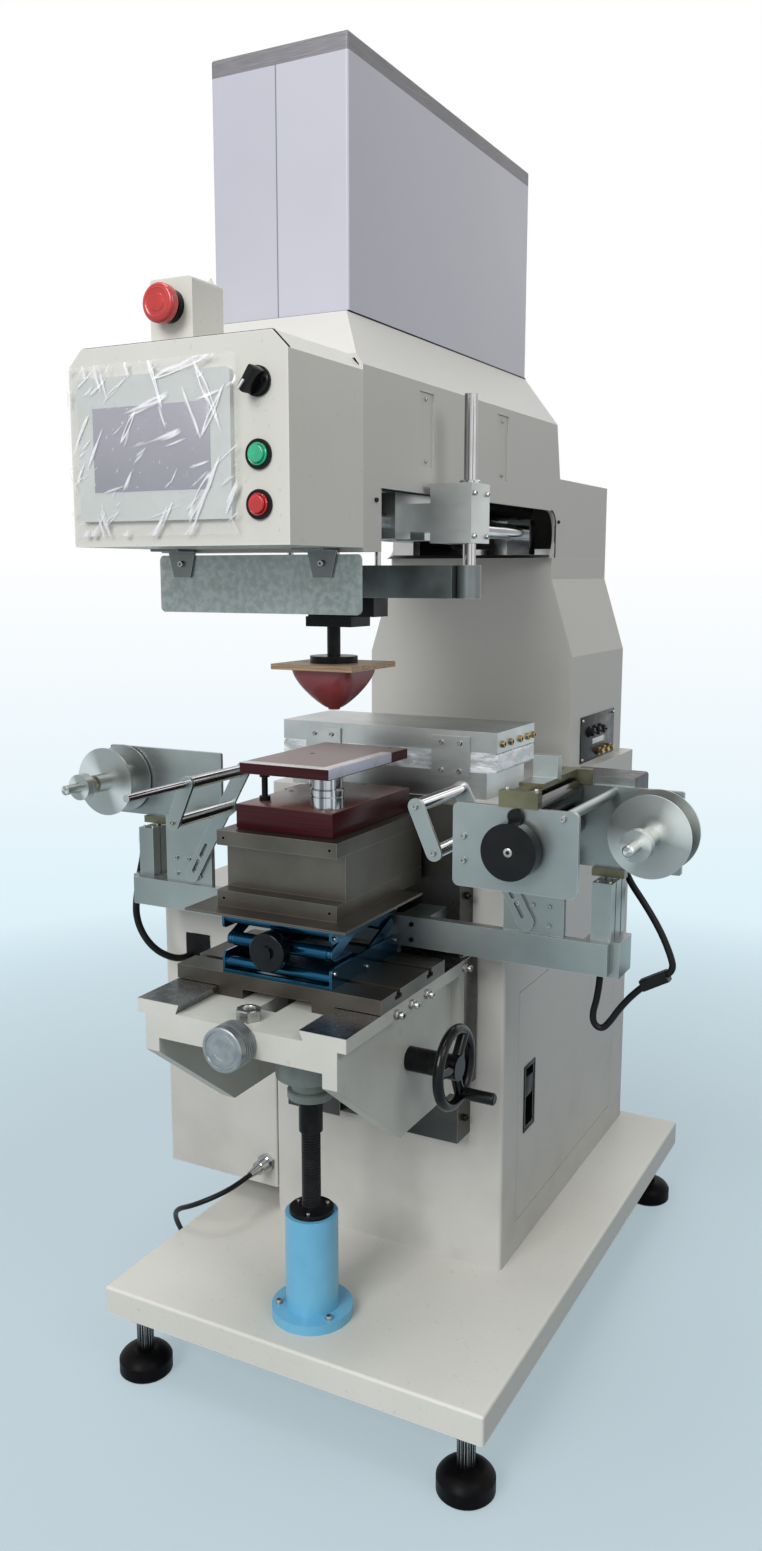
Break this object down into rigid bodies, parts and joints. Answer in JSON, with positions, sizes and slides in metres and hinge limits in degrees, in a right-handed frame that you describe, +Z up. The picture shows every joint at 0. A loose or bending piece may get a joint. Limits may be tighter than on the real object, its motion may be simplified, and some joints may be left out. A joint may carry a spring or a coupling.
{
  "type": "pad stamping machine",
  "caption": "Floor-standing pad stamping machine with a hand-cranked knee, cross table, lab jack, heated plate, film reels and a travelling pad head under a head housing.",
  "frame": {"origin": "on the floor, in the middle of the machine's footprint box without its power cord", "axes": "+Z up, -Y towards the operator, +X to the operator's right"},
  "size_m": [0.932, 1.1, 1.721],
  "materials": {
    "housing_paint": "semi-gloss warm grey paint",
    "panel_paint": "semi-gloss cream paint",
    "post_blue": "light blue paint",
    "black_oxide": "black oxide steel",
    "ground_steel": "ground and oiled steel",
    "casting": "painted casting",
    "bright_steel": "hard chrome",
    "bare_aluminium": "milled, satin",
    "blue_anodised": "deep blue anodised",
    "black_plastic": "satin black",
    "black_rubber": "matte",
    "bakelite": "dark maroon phenolic",
    "silicone": "smooth silicone",
    "green_plastic": "gloss",
    "red_plastic": "gloss",
    "nickel": "nickel plate"
  },
  "bodies": {
    "frame": {"base_plate": "panel_paint", "levelling_feet": "black_rubber", "lower_cabinet": "housing_paint", "pillar": "housing_paint", "head_housing": "housing_paint", "panel_box": "panel_paint", "estop_box": "panel_paint", "top_cover": "panel_paint", "column_guide": "ground_steel", "lift_post": "post_blue", "hot_plate": "bare_aluminium", "plate_support": "bare_aluminium", "head_rails": "bright_steel", "deflector_plate": "bare_aluminium", "reel_beam": "bare_aluminium", "lift_cylinders": "bare_aluminium", "guide_arms": "bare_aluminium", "guide_bars": "bright_steel", "switch_box": "panel_paint", "cord_gland": "nickel", "cylinder_hose": "black_rubber", "motor_cable": "black_rubber", "cable_connector": "black_plastic", "power_cord": "black_rubber", "power_cord_coil": "black_rubber", "power_plug": "black_rubber"},
    "door": {"cabinet_door": "housing_paint"},
    "knee": {"knee_casting": "casting"},
    "lift_screw": {"lift_screw": "black_oxide"},
    "handwheel": {"handwheel": "black_plastic"},
    "crank_handle": {"crank_handle": "black_plastic"},
    "feed_knob": {"feed_knob": "casting"},
    "cross_table": {"cross_table": "ground_steel", "jack_base": "blue_anodised"},
    "jack_front_bar": {"jack_front_bar": "blue_anodised"},
    "jack_rear_bar": {"jack_rear_bar": "blue_anodised"},
    "jack_screw": {"jack_screw": "black_oxide"},
    "jack_link_lower_front": {"jack_link_lower_front": "blue_anodised"},
    "jack_link_lower_rear": {"jack_link_lower_rear": "blue_anodised"},
    "jack_link_upper_front": {"jack_link_upper_front": "blue_anodised"},
    "jack_link_upper_rear": {"jack_link_upper_rear": "blue_anodised"},
    "work_table": {"jack_top": "blue_anodised", "work_riser": "ground_steel", "fixture_base": "bakelite", "fixture_plate": "bakelite"},
    "carriage": {"pad_carriage": "bare_aluminium", "guide_block": "bare_aluminium"},
    "pad_head": {"cross_bar": "black_oxide", "pad_stem": "black_oxide", "silicone_pad": "silicone"},
    "film_left": {"film_plate_left": "bare_aluminium"},
    "film_right": {"film_plate_right": "bare_aluminium"},
    "reel_left": {"reel_left": "bare_aluminium"},
    "reel_right": {"reel_right": "bare_aluminium"},
    "drive_roller": {"drive_roller": "black_rubber"},
    "pinch_roller": {"pinch_roller": "black_rubber"},
    "green_button": {"green_button": "green_plastic"},
    "red_button": {"red_button": "red_plastic"},
    "selector": {"selector_switch": "black_plastic"},
    "estop": {"estop_button": "red_plastic"}
  },
  "joints": [
    {"name": "door_hinge", "type": "hinge", "parent": "frame", "child": "door", "pos_m": [0.1875, 0.452, 0.366], "axis": [0, 0, 1], "range_deg": [0, 100]},
    {"name": "knee_lift", "type": "slide", "parent": "frame", "child": "knee", "axis": [0, 0, 1], "range_m": [-0.02, 0.025]},
    {"name": "handwheel_turn", "type": "hinge", "parent": "knee", "child": "handwheel", "pos_m": [0.15, -0.2477, 0.5256], "axis": [1, 0, 0], "range_deg": [-1504.8, 1864.8]},
    {"name": "lift_screw_turn", "type": "hinge", "parent": "knee", "child": "lift_screw", "pos_m": [0, -0.266, 0.44], "axis": [0, 0, 1], "range_deg": [-1504.8, 1864.8]},
    {"name": "crank_spin", "type": "hinge", "parent": "handwheel", "child": "crank_handle", "pos_m": [0.228, -0.23144, 0.48634], "axis": [1, 0, 0], "continuous": true},
    {"name": "cross_feed", "type": "slide", "parent": "knee", "child": "cross_table", "axis": [0, 1, 0], "range_m": [-0.04, 0.002]},
    {"name": "feed_knob_turn", "type": "hinge", "parent": "knee", "child": "feed_knob", "pos_m": [0, -0.443, 0.587], "axis": [0, 1, 0], "range_deg": [-3675.6, 255.6]},
    {"name": "jack_lift", "type": "slide", "parent": "cross_table", "child": "work_table", "axis": [0, 0, 1], "range_m": [-0.008, 0.008]},
    {"name": "link_lower_front_swing", "type": "hinge", "parent": "cross_table", "child": "jack_link_lower_front", "pos_m": [0, -0.2585, 0.6485], "axis": [1, 0, 0], "range_deg": [-3.25, 3.25]},
    {"name": "link_lower_rear_swing", "type": "hinge", "parent": "cross_table", "child": "jack_link_lower_rear", "pos_m": [0, -0.2585, 0.6485], "axis": [1, 0, 0], "range_deg": [-3.25, 3.25]},
    {"name": "link_upper_front_swing", "type": "hinge", "parent": "work_table", "child": "jack_link_upper_front", "pos_m": [0, -0.2585, 0.7075], "axis": [1, 0, 0], "range_deg": [-3.25, 3.25]},
    {"name": "link_upper_rear_swing", "type": "hinge", "parent": "work_table", "child": "jack_link_upper_rear", "pos_m": [0, -0.2585, 0.7075], "axis": [1, 0, 0], "range_deg": [-3.25, 3.25]},
    {"name": "front_bar_travel", "type": "slide", "parent": "cross_table", "child": "jack_front_bar", "axis": [0, 0.3703, 0.9289], "range_m": [-0.00452, 0.00452]},
    {"name": "rear_bar_travel", "type": "slide", "parent": "cross_table", "child": "jack_rear_bar", "axis": [0, -0.3703, 0.9289], "range_m": [-0.00452, 0.00452]},
    {"name": "jack_knob_turn", "type": "hinge", "parent": "jack_front_bar", "child": "jack_screw", "pos_m": [0, -0.353, 0.678], "axis": [0, 1, 0], "range_deg": [-602.76, 602.76]},
    {"name": "carriage_travel", "type": "slide", "parent": "frame", "child": "carriage", "axis": [0, 1, 0], "range_m": [0, 0.215]},
    {"name": "pad_stroke", "type": "slide", "parent": "carriage", "child": "pad_head", "axis": [0, 0, 1], "range_m": [-0.036, 0]},
    {"name": "film_left_lift", "type": "slide", "parent": "frame", "child": "film_left", "axis": [0, 0, 1], "range_m": [0, 0.012]},
    {"name": "film_right_lift", "type": "slide", "parent": "frame", "child": "film_right", "axis": [0, 0, 1], "range_m": [0, 0.012]},
    {"name": "reel_left_spin", "type": "hinge", "parent": "film_left", "child": "reel_left", "pos_m": [-0.415, -0.153, 0.828], "axis": [0, 1, 0], "continuous": true},
    {"name": "reel_right_spin", "type": "hinge", "parent": "film_right", "child": "reel_right", "pos_m": [0.415, -0.153, 0.828], "axis": [0, 1, 0], "continuous": true},
    {"name": "drive_roller_turn", "type": "hinge", "parent": "film_right", "child": "drive_roller", "pos_m": [0.301, -0.213, 0.83], "axis": [0, 1, 0], "continuous": true},
    {"name": "pinch_roller_turn", "type": "hinge", "parent": "film_right", "child": "pinch_roller", "pos_m": [0.301, -0.213, 0.8674], "axis": [0, 1, 0], "continuous": true},
    {"name": "green_press", "type": "slide", "parent": "frame", "child": "green_button", "axis": [0, 1, 0], "range_m": [0, 0.0035], "stiffness_N_per_m": 600},
    {"name": "red_press", "type": "slide", "parent": "frame", "child": "red_button", "axis": [0, 1, 0], "range_m": [0, 0.0035], "stiffness_N_per_m": 600},
    {"name": "estop_press", "type": "slide", "parent": "frame", "child": "estop", "axis": [0, 1, 0], "range_m": [0, 0.005], "stiffness_N_per_m": 900},
    {"name": "selector_turn", "type": "hinge", "parent": "frame", "child": "selector", "pos_m": [0.104, -0.533, 1.324], "axis": [0, 1, 0], "range_deg": [-10, 90]}
  ],
  "couplings": [
    {"joint": "handwheel_turn", "follows": "knee_lift", "rad_per_m": 1256.6},
    {"joint": "lift_screw_turn", "follows": "knee_lift", "rad_per_m": 1256.6},
    {"joint": "feed_knob_turn", "follows": "cross_feed", "rad_per_m": 1570.8},
    {"joint": "link_lower_front_swing", "follows": "jack_lift", "rad_per_m": -6.7568},
    {"joint": "link_lower_rear_swing", "follows": "jack_lift", "rad_per_m": 6.7568},
    {"joint": "link_upper_front_swing", "follows": "jack_lift", "rad_per_m": 6.7568},
    {"joint": "link_upper_rear_swing", "follows": "jack_lift", "rad_per_m": -6.7568},
    {"joint": "front_bar_travel", "follows": "jack_lift", "ratio": 0.53827},
    {"joint": "rear_bar_travel", "follows": "jack_lift", "ratio": 0.53827},
    {"joint": "jack_knob_turn", "follows": "jack_lift", "rad_per_m": 1252.4},
    {"joint": "pinch_roller_turn", "follows": "drive_roller_turn", "ratio": -1.1765}
  ]
}
